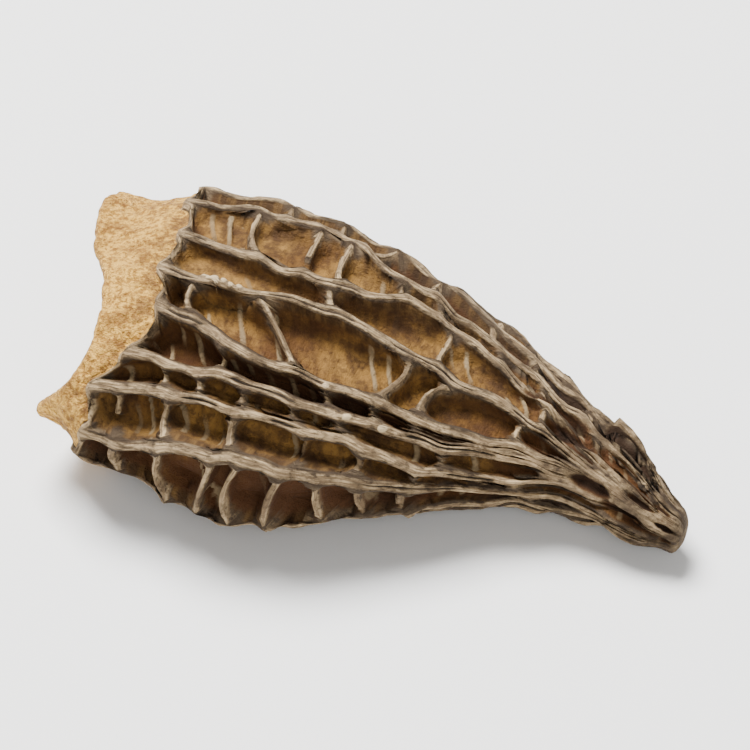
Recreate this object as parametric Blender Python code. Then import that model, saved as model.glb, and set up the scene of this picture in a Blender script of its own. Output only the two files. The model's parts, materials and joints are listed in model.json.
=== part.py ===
"""A dried morel mushroom lying on its side: one hollow fruit body, a short cut stem and a cap of ribs and pits.

The stem's cut mouth faces -X, the cap's tip points to +X, and the flattened underside rests on Z = 0.
The fruit body grew as one piece, so it is one closed solid: an outer skin raised into the cap's net by a
formula, and an inner skin that leaves the stem and the cap hollow and open at the mouth.
"""

import random

import bpy
import numpy as np

MM = 0.001

# The envelope that the rib crests reach: station from the stem's cut end, half width, half thickness,
# centre Y, centre Z and the depth of the pits there, in millimetres.
STATIONS = np.array([
    (0.0, 10.9, 6.1, -0.9, 7.6, 0.5),
    (3.5, 10.9, 6.3, -0.9, 7.6, 1.4),
    (6.0, 12.5, 7.5, -0.7, 7.4, 2.2),
    (9.5, 13.0, 8.0, -0.3, 7.4, 2.7),
    (14.0, 13.6, 8.4, -0.6, 7.4, 2.9),
    (18.0, 13.6, 8.2, -0.8, 7.2, 2.9),
    (24.0, 11.8, 7.1, -0.1, 6.5, 2.6),
    (30.0, 9.0, 5.6, 1.0, 5.4, 2.1),
    (36.0, 6.0, 4.2, 1.6, 4.5, 1.6),
    (41.0, 4.2, 3.3, 0.7, 3.9, 1.2),
    (45.0, 3.2, 2.7, -0.7, 3.3, 0.9),
    (47.0, 2.1, 1.9, -1.4, 3.0, 0.5),
])
TIP = 48.0
TIP_CENTRE = (-1.6, 2.9)

# Ragged edges, as (angle round the body in degrees, station in millimetres). Angle 0 is +Y and 90 is up.
MOUTH_EDGE = ((0, 1.3), (50, 0.0), (78, 1.6), (105, 4.4), (130, 5.5), (150, 4.8), (178, 2.8), (205, 1.8),
              (225, 2.2), (250, 2.8), (290, 2.6), (325, 2.0))
CAP_EDGE = ((0, 7.2), (49, 6.3), (78, 8.0), (98, 8.2), (112, 9.4), (130, 8.7), (152, 6.6), (165, 6.9),
            (190, 5.8), (212, 5.3), (235, 6.8), (275, 6.7), (320, 7.8))

# The primary ribs run from the cap's edge to its tip. A row is one rib's angles in degrees at these stations.
RIB_STATIONS = (7.0, 13.0, 21.0, 29.0, 37.0, 45.0)
SIDE_RIBS = (
    (55, 54, 56, 60, 76, 95),
    (79, 82, 78, 71, 94, 118),
    (98, 97, 91, 98, 113, 129),
    (109, 114, 120, 127, 133, 137),
    (132, 131, 129, 137, 142, 146),
    (147, 142, 140, 150, 158, 157),
    (172, 167, 159, 166, 175, 184),
    (206, 211, 207, 202, 200, 203),
)
UNDERSIDE_RIBS = 10
RIBS = len(SIDE_RIBS) + UNDERSIDE_RIBS
RIB_JITTER = 3.0
PAIRING = (0, 0, 0, 1.5, 4, 5)

# Cross veins between a rib and the next, as the stations where the vein meets the first and the second.
SIDE_VEINS = (
    ((12.3, 14.5), (19.4, 20.8), (26.6, 27.0), (31.3, 32.3), (35.2, 36.5), (40.0, 40.5)),
    ((20.1, 21.4), (28.6, 28.9), (36.7, 36.9), (41.0, 41.4)),
    ((11.3, 12.6), (15.6, 20.4), (26.9, 25.6), (30.6, 29.1), (35.6, 35.4), (41.0, 41.4)),
    ((22.6, 23.7), (28.9, 29.4), (33.3, 32.8), (37.0, 36.8)),
    ((11.6, 12.4), (14.3, 14.8), (17.8, 18.3), (20.9, 21.9), (23.7, 25.2), (31.0, 31.6), (38.0, 38.4)),
    ((12.9, 13.4), (17.8, 18.3), (26.1, 26.5), (29.9, 30.1), (35.8, 36.2)),
    ((9.7, 9.2), (12.8, 13.2), (16.9, 15.3), (21.8, 20.4), (24.4, 24.6), (27.2, 27.4), (30.2, 29.8),
     (36.8, 37.2)),
)
VEIN_SPACING = 4.2
VEIN_SLANT = 1.1
FIRST_VEIN = 9.5
LAST_VEIN = 41.0

RIB_WIDTH = 0.95
RIB_FOOT = 0.5
CREST_LIMIT = 0.24
FOOT_LIMIT = 0.38
CREST_WAVE = 0.35
CREST_WAVE_LENGTH = (3.5, 7.0)
PIT_OPENS = (0.5, 1.5)
VEIN_RISE = (0.86, 0.72, 0.86)
VEIN_WIDTH = 0.65
VEIN_FOOT = 0.4
STEM_STEP = 0.5
STEM_WALL = 1.15
CAP_WALL = 1.1
CAVITY_CLOSES = 31.0
CAVITY_END = 38.0
FOLDS = ((2, 0.09, 0.020), (3, 0.21, 0.020), (5, -0.17, 0.012))

CAP_ROWS = 46
STEM_ROWS = 3
CAVITY_ROWS = 14
COLUMNS_PER_CAVITY_COLUMN = 3
SEED = 7


def smooth_through(points, values, at):
    """Cubic through the points, whose slope at each point comes from its neighbours."""
    points = np.asarray(points, float)
    values = np.asarray(values, float)
    slopes = np.gradient(values, points)
    i = np.clip(np.searchsorted(points, at) - 1, 0, len(points) - 2)
    step = points[i + 1] - points[i]
    t = np.clip((at - points[i]) / step, 0, 1)
    rise = values[i + 1] - values[i]
    return (values[i] + rise * t * t * (3 - 2 * t)
            + step * t * (1 - t) * ((1 - t) * slopes[i] - t * slopes[i + 1]))


def step_up(x, low, high):
    """0 below low, 1 above high, and a smooth S between."""
    t = np.clip((x - low) / (high - low), 0, 1)
    return t * t * (3 - 2 * t)


def round_edge(edge, angle):
    """Station of a ragged edge at an angle round the body."""
    angles, stations = np.array(edge, float).T
    angles = np.concatenate([angles - 360, angles, angles + 360])
    return smooth_through(angles, np.tile(stations, 3), np.mod(angle, 360))


def section(station):
    """Half width, half thickness, centre Y, centre Z and pit depth of the envelope at each station."""
    rows = [smooth_through(STATIONS[:, 0], STATIONS[:, k], station) for k in range(1, 6)]
    half_width, half_thick, y, z, depth = rows
    closing = np.clip((station - STATIONS[-1, 0]) / (TIP - STATIONS[-1, 0]), 0, 1)
    shrink = np.sqrt(1 - closing ** 2)
    y = y + (TIP_CENTRE[0] - STATIONS[-1, 3]) * closing
    z = z + (TIP_CENTRE[1] - STATIONS[-1, 4]) * closing
    return half_width * shrink, half_thick * shrink, y, z, depth * shrink


def skin_points(station, angle, below):
    """Points a depth below the envelope, with the dried body's long folds, and none under what it lies on."""
    half_width, half_thick, y, z, _ = section(station)
    turn = np.radians(angle)
    fold = 1 + sum(size * np.sin(count * turn + drift * station) for count, drift, size in FOLDS)
    across = y + (half_width * fold - below) * np.cos(turn)
    up = z + (half_thick * fold - below) * np.sin(turn)
    return np.stack([station, across, np.maximum(up, 0)], axis=-1)


def all_ribs(draw):
    """Each rib's angles at RIB_STATIONS: the side's, then the underside's, which pair up towards the tip."""
    last = np.array(SIDE_RIBS[-1], float)
    first = np.array(SIDE_RIBS[0], float) + 360
    ribs = [np.array(rib, float) for rib in SIDE_RIBS]
    for k in range(1, UNDERSIDE_RIBS + 1):
        share = k / (UNDERSIDE_RIBS + 1)
        jitter = np.array([draw.uniform(-RIB_JITTER, RIB_JITTER) for _ in RIB_STATIONS])
        pairing = np.array(PAIRING) * (1 if k % 2 else -1)
        ribs.append(last + (first - last) * share + jitter + pairing)
    return ribs


def all_veins(draw):
    """Cross veins of every row of pits: those of the side, then near-even slanted ones for the underside."""
    rows = list(SIDE_VEINS)
    for _ in range(UNDERSIDE_RIBS + 1):
        veins = []
        station = FIRST_VEIN + draw.uniform(0, VEIN_SPACING)
        while station < LAST_VEIN:
            slant = draw.uniform(-VEIN_SLANT, VEIN_SLANT)
            veins.append((station - slant, station + slant))
            station += VEIN_SPACING * draw.uniform(0.75, 1.25)
        rows.append(veins)
    return rows


def rib_angle(rib, station):
    return smooth_through(RIB_STATIONS, rib, np.clip(station, RIB_STATIONS[0], RIB_STATIONS[-1]))


def veined_stations(edge, share, veins, pull):
    """Stations of a column's rows, drawn onto the feet and tops of its veins, and the rows on a top."""
    rows = np.arange(CAP_ROWS + 1)
    spacing = (TIP - edge) / CAP_ROWS
    knots = {0: edge, CAP_ROWS: TIP}
    tops = []
    half_top = VEIN_WIDTH / 2
    half_base = half_top + VEIN_FOOT
    for first, second in veins:
        row = int(round(((first + second) / 2 - edge) / spacing - 0.5))
        place = first + (second - first) * share
        if row < (tops[-1] + 2 if tops else 2) or row > CAP_ROWS - 4:
            continue
        before = knots.get(row - 1, place - half_base)
        knots[row - 1] = (before + place - half_base) / 2
        knots[row] = place - half_top
        knots[row + 1] = place + half_top
        knots[row + 2] = place + half_base
        tops += [row, row + 1]
    order = sorted(knots)
    drawn = np.interp(rows, order, [knots[row] for row in order])
    even = edge + spacing * rows
    return even + (drawn - even) * pull, tops


def crest_waves(draw):
    """Length and phase of the slow rise and fall of each rib's crest."""
    return [(draw.uniform(*CREST_WAVE_LENGTH), draw.uniform(0, 2 * np.pi)) for _ in range(RIBS)]


def pit_row(left, right, waves, veins):
    """Columns of skin from one rib's crest to the next: crest, pit foot, pit floor, pit foot and crest."""
    columns = []
    for k, share in enumerate((0.0, 0.3, 0.5, 0.7, 1.0)):
        on_crest = share in (0.0, 1.0)
        start = rib_angle(left, 0) * (1 - share) + rib_angle(right, 0) * share
        edge = float(round_edge(CAP_EDGE, start))
        station, vein_rows = veined_stations(edge, share, veins, 0.5 if on_crest else 1.0)
        a = rib_angle(left, station)
        b = rib_angle(right, station)
        half_width, half_thick, _, _, depth = section(station)
        turn = np.radians((a + b) / 2)
        gap = np.radians(b - a) * np.hypot(half_width * np.sin(turn), half_thick * np.cos(turn))
        gap = np.maximum(gap, 0.01)
        crest = np.minimum(RIB_WIDTH / 2 / gap, CREST_LIMIT)
        foot = np.minimum((RIB_WIDTH / 2 + RIB_FOOT) / gap, FOOT_LIMIT)
        across = (crest, foot, np.full_like(gap, 0.5), 1 - foot, 1 - crest)[k]
        if on_crest:
            length, phase = waves[int(share)]
            below = CREST_WAVE * (0.5 + 0.5 * np.sin(2 * np.pi * station / length + phase))
        else:
            below = depth * step_up(gap, *PIT_OPENS)
            below[vein_rows] *= 1 - VEIN_RISE[k - 1]
        below[0] = STEM_STEP
        columns.append((a + (b - a) * across, station, below))
    return columns


def stem_rings(angles, edges):
    """Rings of the stem's outside from the mouth up to the cap's edge."""
    mouth = round_edge(MOUTH_EDGE, angles)
    shares = [row / STEM_ROWS for row in range(STEM_ROWS)]
    return [skin_points(mouth + (edges - mouth) * share, angles, STEM_STEP) for share in shares]


def cavity_rings(angles):
    """Rings of the inner skin from the mouth to the end of the hollow in the cap."""
    mouth = round_edge(MOUTH_EDGE, angles)
    rings = []
    for row in range(CAVITY_ROWS):
        station = mouth + (CAVITY_END - mouth) * row / CAVITY_ROWS
        half_width, half_thick, _, _, depth = section(station)
        closing = np.clip((station - CAVITY_CLOSES) / (CAVITY_END - CAVITY_CLOSES), 0, 1)
        shrink = np.sqrt(1 - closing ** 2)
        wall = np.maximum(STEM_STEP + STEM_WALL, depth + CAP_WALL)
        radius = np.hypot(half_width * np.cos(np.radians(angles)), half_thick * np.sin(np.radians(angles)))
        rings.append(skin_points(station, angles, wall + (radius - wall) * (1 - shrink)))
    return rings


def bands(rings, flip):
    """Faces between each ring and the next, in rings of the same number of points."""
    faces = []
    count = len(rings[0])
    for row in range(len(rings) - 1):
        for j in range(count):
            a = row * count + j
            b = row * count + (j + 1) % count
            quad = (a, b, b + count, a + count)
            faces.append(quad[::-1] if flip else quad)
    return faces


def fruit_body_mesh():
    """Points, faces and, by face, whether it's on the stem."""
    draw = random.Random(SEED)
    ribs = all_ribs(draw)
    veins = all_veins(draw)
    waves = crest_waves(draw)
    columns = []
    for k, left in enumerate(ribs):
        right = ribs[k + 1] if k + 1 < RIBS else ribs[0] + 360
        columns += pit_row(left, right, (waves[k], waves[(k + 1) % RIBS]), veins[k])
    angle = np.array([column[0] for column in columns]).T
    station = np.array([column[1] for column in columns]).T
    below = np.array([column[2] for column in columns]).T

    outer = stem_rings(angle[0], station[0])
    outer += [skin_points(station[row], angle[row], below[row]) for row in range(CAP_ROWS)]
    inner = cavity_rings(angle[0, ::COLUMNS_PER_CAVITY_COLUMN])
    tip = (TIP, *TIP_CENTRE)
    cavity_end = (CAVITY_END, section(CAVITY_END)[2], section(CAVITY_END)[3])

    around = len(outer[0])
    inside = len(inner[0])
    first_inner = around * len(outer)
    tip_index = first_inner + inside * len(inner)
    points = np.concatenate(outer + inner + [np.array([tip, cavity_end])])

    faces = bands(outer, False)
    on_stem = [k < around * STEM_ROWS for k in range(len(faces))]
    faces += [tuple(first_inner + i for i in face) for face in bands(inner, True)]
    last_outer = around * (len(outer) - 1)
    last_inner = first_inner + inside * (len(inner) - 1)
    faces += [(last_outer + j, last_outer + (j + 1) % around, tip_index) for j in range(around)]
    faces += [(last_inner + (j + 1) % inside, last_inner + j, tip_index + 1) for j in range(inside)]
    for j in range(inside):
        a, b, c, d = ((COLUMNS_PER_CAVITY_COLUMN * j + i) % around for i in range(4))
        p = first_inner + j
        q = first_inner + (j + 1) % inside
        faces += [(b, a, p), (b, p, q), (c, b, q), (d, c, q)]
    on_stem += [True] * (len(faces) - len(on_stem))
    return points, faces, on_stem


def material(name, colour, roughness):
    made = bpy.data.materials.new(name)
    made.use_nodes = True
    shader = made.node_tree.nodes["Principled BSDF"]
    shader.inputs["Base Color"].default_value = (*colour, 1)
    shader.inputs["Roughness"].default_value = roughness
    shader.inputs["Metallic"].default_value = 0
    return made


for item in list(bpy.data.objects):
    bpy.data.objects.remove(item, do_unlink=True)

points, faces, on_stem = fruit_body_mesh()
# The origin is under the middle of the body, on the surface it lies on.
middle = (points.min(axis=0) + points.max(axis=0)) / 2
points -= (middle[0], middle[1], 0)

mesh = bpy.data.meshes.new("fruit_body")
mesh.from_pydata((points * MM).tolist(), [], faces)
mesh.validate()
fruit_body = bpy.data.objects.new("fruit_body", mesh)
bpy.context.scene.collection.objects.link(fruit_body)
mesh.materials.append(material("dried cap", (0.16, 0.10, 0.06), 0.85))
mesh.materials.append(material("dried stem", (0.62, 0.50, 0.34), 0.8))
for polygon, stem in zip(mesh.polygons, on_stem):
    polygon.material_index = 1 if stem else 0
    polygon.use_smooth = True
print("fruit body points", len(points), "faces", len(faces), "size mm", points.max(axis=0) - points.min(axis=0))
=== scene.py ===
import json
import random

import bpy
import numpy as np
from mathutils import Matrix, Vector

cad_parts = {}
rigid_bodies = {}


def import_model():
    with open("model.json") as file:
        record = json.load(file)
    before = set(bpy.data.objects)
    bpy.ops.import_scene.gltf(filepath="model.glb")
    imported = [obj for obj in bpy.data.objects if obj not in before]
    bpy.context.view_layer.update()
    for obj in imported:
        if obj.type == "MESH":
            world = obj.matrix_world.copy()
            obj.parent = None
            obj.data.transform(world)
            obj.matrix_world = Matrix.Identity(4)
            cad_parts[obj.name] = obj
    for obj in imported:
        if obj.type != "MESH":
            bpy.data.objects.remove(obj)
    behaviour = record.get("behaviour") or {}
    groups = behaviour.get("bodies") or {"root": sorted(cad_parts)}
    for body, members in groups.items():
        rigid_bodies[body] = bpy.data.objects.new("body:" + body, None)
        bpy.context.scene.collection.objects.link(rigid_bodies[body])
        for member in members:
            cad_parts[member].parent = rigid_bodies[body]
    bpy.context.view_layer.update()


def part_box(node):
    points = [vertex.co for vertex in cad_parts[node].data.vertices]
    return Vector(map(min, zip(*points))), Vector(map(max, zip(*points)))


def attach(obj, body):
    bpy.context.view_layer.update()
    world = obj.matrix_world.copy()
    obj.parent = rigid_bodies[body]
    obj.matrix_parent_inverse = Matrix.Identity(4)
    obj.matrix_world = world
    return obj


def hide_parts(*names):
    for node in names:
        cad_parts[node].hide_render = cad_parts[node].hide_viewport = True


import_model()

mm = 0.001

# One dried morel on its side. Everything is worked out in millimetres along the body: station 0 is
# the stem's cut end and station 48 the cap's tip, angle 0 points to +Y and 90 up.
bodyShape = {
    "tip": 48.0,
    "tipCentre": (-1.6, 2.9),
    "sideShift": 0.433,        # mm that +Y of the frame lies beyond the stations' own middle line
    # station, half width, half thickness, centre y, centre z, depth of the pits
    "sections": (
        (0.0, 10.9, 6.1, -0.9, 7.6, 0.5),
        (3.5, 10.9, 6.3, -0.9, 7.6, 1.4),
        (6.0, 12.5, 7.5, -0.7, 7.4, 2.2),
        (9.5, 13.0, 8.0, -0.3, 7.4, 2.7),
        (14.0, 13.6, 8.4, -0.6, 7.4, 2.9),
        (18.0, 13.6, 8.2, -0.8, 7.2, 2.9),
        (24.0, 11.8, 7.1, -0.1, 6.5, 2.6),
        (30.0, 9.0, 5.6, 1.0, 5.4, 2.1),
        (36.0, 6.0, 4.2, 1.6, 4.5, 1.6),
        (41.0, 4.2, 3.3, 0.7, 3.9, 1.2),
        (45.0, 3.2, 2.7, -0.7, 3.3, 0.9),
        (47.0, 2.1, 1.9, -1.4, 3.0, 0.5),
    ),
    "folds": ((2, 0.09, 0.020), (3, 0.21, 0.020), (5, -0.17, 0.012)),
    # ragged edges, as (angle, station)
    "mouthEdge": (
        (0, 1.3), (50, 0.0), (78, 1.6), (105, 4.4), (130, 5.5), (150, 4.8), (178, 2.8), (205, 1.8),
        (225, 2.2), (250, 2.8), (290, 2.6), (325, 2.0)),
    "capEdge": (
        (0, 7.2), (49, 6.3), (78, 8.0), (98, 8.2), (112, 9.4), (130, 8.7), (152, 6.6), (165, 6.9),
        (190, 5.8), (212, 5.3), (235, 6.8), (275, 6.7), (320, 7.8)),
}

ribNet = {
    "sideStations": (6, 10, 14, 18, 22, 26, 30, 34, 38, 42, 46),
    "sideRibs": (
        (56, 52, 55, 53, 57, 60, 60, 67, 79, 88, 98),
        (79, 79, 83, 81, 77, 70, 72, 82, 98, 113, 119),
        (98, 97, 97, 92, 91, 94, 100, 105, 116, 126, 130),
        (108, 113, 115, 118, 120, 122, 128, 132, 133, 134, 138),
        (132, 132, 130, 128, 130, 133, 138, 141, 142, 143, 147),
        (148, 145, 141, 139, 140, 143, 153, 162, 156, 153, 158),
        (171, 174, 164, 158, 160, 163, 168, 176, 175, 178, 186),
        (203, 214, 210, 207, 207, 204, 201, 200, 200, 200, 204),
    ),
    "hiddenStations": (7.0, 13.0, 21.0, 29.0, 37.0, 45.0),
    "hiddenRibs": 10,
    "jitter": 3.0,
    "pairing": (0, 0, 0, 1.5, 4, 5),
    "seed": 7,
    "wander": 0.12,            # mm that a rib wanders to either side
    "veinPull": 0.13,          # mm that a cross vein draws a rib towards itself
    "veinReach": 0.9,          # mm along a rib over which a vein draws and lifts it
    "crestWave": 0.30,         # mm that a crest rises and falls
    "crestWaveLength": (3.5, 7.0),
    "veinLift": 0.16,          # mm that a crest stands higher where a vein meets it
    # half a rib from its middle outward: mm across where its walls lean back under the crest, mm
    # across where they don't, and share of the way down to the pit's floor
    "across": (0.0, 0.18, 0.35, 0.48, 0.42, 0.35, 0.39, 0.70),
    "upright": (0.0, 0.18, 0.35, 0.48, 0.52, 0.56, 0.62, 0.76),
    "hiddenLean": 0.3,         # how much of that lean the ribs off the side have
    "down": (0.0, 0.015, 0.06, 0.16, 0.35, 0.63, 0.87, 0.98),
    # share of the gap between close ribs that half a rib may take, near the stem and near the tip
    "mostOfGap": (0.29, 0.21),
    "tipward": (31, 38),       # stations over which ribs grow thinner and floors darker
    "tipTone": 0.7,            # how much darker the floors are at the tip
    "groove": 0.30,            # mm that a split crest is parted
    "floorColumns": (5, 5, 9, 6, 4, 6, 12, 7),
    "hiddenFloorColumns": 6,
    "rows": 195,
    "pitOpens": (0.35, 1.3),   # mm between ribs at which a pit begins, and is as deep as it gets
    # mm that the folds between close ribs sink near the tip, by row, and by turns for hidden ones
    "folds": (0.85, 0.2, 0.3, 0.12, 0.12, 0.6, 0.2),
    "hiddenFolds": (0.2, 0.5),
    # hollows in the tip: station, angle, half length, half width and depth in mm
    "hollows": (
        (40.9, 142, 1.7, 0.75, 0.9), (43.5, 157, 1.6, 0.6, 1.1), (46.3, 95, 0.9, 0.22, 0.55),
        (46.2, 108, 0.7, 0.2, 0.45), (45.0, 168, 1.4, 0.25, 0.5), (38.7, 101, 2.2, 0.42, 0.8),
        (36.9, 84, 3.0, 0.40, 0.7), (46.6, 140, 0.8, 0.25, 0.5), (46.9, 175, 0.5, 0.3, 0.5),
        (44.6, 122, 1.2, 0.22, 0.5)),
    # crumbs: station, angle and mm across half of one
    "crumbs": (
        (11.5, 96.0, 0.26), (11.9, 97.2, 0.20), (12.4, 96.2, 0.28), (12.6, 97.9, 0.18),
        (13.1, 96.4, 0.24), (13.7, 97.0, 0.20), (14.3, 96.2, 0.24), (22.7, 121.2, 0.26),
        (24.7, 131.6, 0.30), (27.1, 133.8, 0.30)),
    "crumbHeight": 1.1,        # how high a crumb stands, as a share of half its width
    "rowDepths": (0.62, 0.62, 0.92, 1, 0.75, 0.9, 1),  # share of the full depth near the stem
    "rowDeepens": (15, 26),    # stations over which the shallow rows reach their full depth
    # 0 where a row's floors are pale and 1 where they are dark red-brown; the fourth row's dark is
    # partly painted shade under the rib that overhangs it
    "rowTones": (0.10, 0.10, 0.30, 0.85, 0.10, -0.30, 0.85),
    "hiddenTone": 0.85,
    "tonePatches": (0.35, 4.0),  # how much the tone changes along a row, over how many mm
    "stemStep": 0.5,           # mm from the crests down to the stem's surface
    "lip": 0.30,               # mm that the cap's edge hangs out over the stem
    "scallop": 0.50,           # mm that the cap's edge draws back between the ribs
    # crests that stand up in a point: rib, station, mm up, mm over which it rises and falls
    "points": (
        (17, 41.2, 1.5, 0.9, 5.5), (7, 20.8, 0.5, 0.9, 0.8), (7, 29.5, 0.5, 0.7, 0.5),
        (7, 12.6, 0.3, 0.8, 0.9), (0, 26.4, 0.35, 1.2, 1.5), (3, 20.2, 0.25, 1.0, 1.6)),
}

# Cross veins between each side rib and the next: station on the first rib, station on the second,
# how far across it reaches (under 1 leaves it a fin), and its height in the middle.
crossVeins = {
    "side": (
        ((12.3, 14.5, 1, 0.85), (16.9, 17.6, 0.6, 0.6), (19.4, 20.8, 0.9, 0.7),
         (23.9, 24.9, 0.6, 0.6), (26.6, 27.0, 1, 0.9), (31.3, 32.3, 1, 0.85), (35.2, 36.5, 1, 0.8),
         (40.0, 40.5, 1, 0.8)),
        ((20.1, 21.4, 1, 0.8), (28.6, 28.9, 1, 0.4), (36.7, 36.9, 1, 0.8), (41.0, 41.4, 1, 0.8)),
        ((11.3, 12.6, 1, 0.85), (15.6, 20.4, 1, 0.85), (26.9, 25.6, 1, 0.85), (30.6, 29.1, 1, 0.85),
         (35.6, 35.4, 1, 0.8), (41.0, 41.4, 1, 0.8)),
        ((15.0, 15.4, 1, 0.5), (22.6, 23.7, 1, 0.75), (25.8, 26.6, 1, 0.7), (28.9, 29.4, 1, 0.75),
         (33.3, 32.8, 1, 0.8), (37.0, 36.8, 1, 0.8)),
        ((11.6, 12.4, 1, 0.8), (14.3, 14.8, 1, 0.8), (17.8, 18.3, 1, 0.8), (20.9, 21.9, 1, 0.8),
         (23.7, 25.2, 1, 0.8), (31.0, 31.6, 1, 0.75), (38.0, 38.4, 1, 0.8)),
        ((8.9, 9.4, 0.7, 0.6), (12.9, 13.4, 1, 0.85), (17.8, 18.3, 1, 0.85), (22.4, 22.6, 1, 0.35),
         (26.1, 26.5, 1, 0.8), (29.9, 30.1, 1, 0.8), (35.8, 36.2, 1, 0.8)),
        ((9.7, 9.2, 1, 0.85), (12.8, 13.2, 1, 0.85), (16.9, 15.3, 1, 0.85), (19.1, 18.2, 1, 0.85),
         (21.8, 20.4, 1, 0.8), (24.0, 24.2, 1, 0.8), (26.8, 27.0, 1, 0.8), (30.2, 29.4, 1, 0.8),
         (36.8, 37.2, 1, 0.8)),
    ),
    "spacing": 4.2,            # mm between the veins of the hidden rows
    "slant": 1.1,
    "first": 9.5,
    "last": 41.0,
    "halfWidth": 0.23,
    "endHeight": 0.95,         # height beside the ribs, as a share of theirs
    "bow": 0.95,               # mm that a vein bows
    "bowShare": 0.25,          # most of the gap between its ribs that it may bow
    "corner": 1.2,             # mm radius of the corner between a vein and a rib
    "cornerShare": 0.36,       # most of the gap between its ribs that the radius may be
    "steepest": 1.5,           # most slope of a vein that its width and the rows beside it follow
    # mm before and after a vein's middle line at which rows of the mesh lie
    "rowsAcross": (-0.42, -0.25, -0.17, -0.08, 0.08, 0.17, 0.25, 0.42),
    "rim": 0.5,                # mm from the cap's edge to the first pits
    "rowStep": 0.004,          # least mm between two gathered rows
}

# Low rungs across the pits' floors.
rungs = {
    "spacing": 1.35,
    "height": 0.60,
    "halfWidth": 0.20,
    "slant": -0.38,            # mm along the body for each mm across
}


def smoothThrough(points, values, at):
    # cubic through the points, whose slope at each point comes from its neighbours
    points = np.asarray(points, float)
    values = np.asarray(values, float)
    slopes = np.gradient(values, points)
    i = np.clip(np.searchsorted(points, at) - 1, 0, len(points) - 2)
    step = points[i + 1] - points[i]
    t = np.clip((at - points[i]) / step, 0, 1)
    rise = values[i + 1] - values[i]
    return (values[i] + rise * t * t * (3 - 2 * t)
            + step * t * (1 - t) * ((1 - t) * slopes[i] - t * slopes[i + 1]))


def stepUp(x, low, high):
    # 0 below low, 1 above high, and a smooth S between
    t = np.clip((x - low) / (high - low), 0, 1)
    return t * t * (3 - 2 * t)


def latticeNoise(p, size, seed):
    # random values from -1 to 1 at whole steps of size, blended smoothly between the 8 nearest
    q = p / size
    cell = np.floor(q).astype(np.int64)
    f = q - cell
    f = f * f * (3 - 2 * f)
    total = np.zeros(p.shape[:-1])
    for corner in range(8):
        bit = np.array([corner & 1, corner >> 1 & 1, corner >> 2 & 1])
        n = cell + bit
        h = n[..., 0] * 73856093 ^ n[..., 1] * 19349663 ^ n[..., 2] * 83492791
        h = (h ^ seed * 265443) & 0xFFFFFFFF
        h = (h ^ h >> 13) * 1274126177 & 0xFFFFFFFF
        h = (h ^ h >> 16) & 0xFFFF
        weight = np.prod(np.where(bit, f, 1 - f), axis=-1)
        total += weight * (h / 32767.5 - 1)
    return total


def cloudNoise(p, size, seed, octaves=3):
    # lattice noise plus finer and weaker copies of itself
    total = 0
    for k in range(octaves):
        total = total + latticeNoise(p, size / 2 ** k, seed + k) / 2 ** k
    return total / 1.6


def lineNoise(x, size, seed):
    # the same noise along one line
    p = np.zeros(np.shape(x) + (3,))
    p[..., 0] = x
    return latticeNoise(p, size, seed)


def roundEdge(edge, angle):
    # station of a ragged edge at an angle round the body
    angles, stations = np.array(edge, float).T
    angles = np.concatenate([angles - 360, angles, angles + 360])
    return smoothThrough(angles, np.tile(stations, 3), np.mod(angle, 360))


def capEdgeAt(angle, fromCrest):
    # the cap's edge, drawn back towards the tip between the ribs
    drawn = ribNet["scallop"] * (stepUp(fromCrest, 0.15, 1.3) - 0.4)
    return roundEdge(bodyShape["capEdge"], angle) + drawn


def section(station):
    # half width, half thickness, centre y, centre z and pit depth of the body's envelope
    table = np.array(bodyShape["sections"])
    halfWidth, halfThick, y, z, depth = [
        smoothThrough(table[:, 0], table[:, k], station) for k in range(1, 6)]
    closing = np.clip((station - table[-1, 0]) / (bodyShape["tip"] - table[-1, 0]), 0, 1)
    shrink = np.sqrt(1 - closing ** 2)
    y = y + (bodyShape["tipCentre"][0] - table[-1, 3]) * closing
    z = z + (bodyShape["tipCentre"][1] - table[-1, 4]) * closing
    return halfWidth * shrink, halfThick * shrink, y, z, depth * shrink


def skinPoints(station, angle, below):
    # a point on the folded ellipse round the body at that station, moved in by its depth
    halfWidth, halfThick, y, z, _ = section(station)
    turn = np.radians(angle)
    fold = 1 + sum(size * np.sin(count * turn + drift * station)
                   for count, drift, size in bodyShape["folds"])
    across = y + np.maximum(halfWidth * fold - below, 0.01) * np.cos(turn)
    up = z + np.maximum(halfThick * fold - below, 0.01) * np.sin(turn)
    return np.stack([station, across, up], axis=-1)


def allRibs(draw):
    # (stations, angles) of each rib: the side's, then evenly spread ones that pair up to the tip
    ribs = [(ribNet["sideStations"], np.array(rib, float)) for rib in ribNet["sideRibs"]]
    hidden = ribNet["hiddenStations"]
    last = smoothThrough(*ribs[-1], np.array(hidden))
    first = smoothThrough(*ribs[0], np.array(hidden)) + 360
    for k in range(1, ribNet["hiddenRibs"] + 1):
        share = k / (ribNet["hiddenRibs"] + 1)
        jitter = np.array([draw.uniform(-ribNet["jitter"], ribNet["jitter"]) for _ in hidden])
        pairing = np.array(ribNet["pairing"]) * (1 if k % 2 else -1)
        ribs.append((hidden, last + (first - last) * share + jitter + pairing))
    return ribs


def allVeins(draw):
    # (first station, second station, reach, height) of the veins of every row of pits
    rows = [list(row) for row in crossVeins["side"]]
    for _ in range(ribNet["hiddenRibs"] + 1):
        veins = []
        station = crossVeins["first"] + draw.uniform(0, crossVeins["spacing"])
        while station < crossVeins["last"]:
            slant = draw.uniform(-crossVeins["slant"], crossVeins["slant"])
            veins.append((station - slant, station + slant, 1, 0.8))
            station += crossVeins["spacing"] * draw.uniform(0.75, 1.25)
        rows.append(veins)
    return rows


def veinMeets(k, station):
    # bumps along a rib where veins meet it, of the row of pits after it and of the row before
    reach = ribNet["veinReach"]
    k = k % len(ribs)
    after = sum(np.exp(-((station - vein[0]) / reach) ** 2) for vein in veinRows[k])
    before = sum(np.exp(-((station - vein[1]) / reach) ** 2) for vein in veinRows[k - 1])
    return after, before


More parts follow.
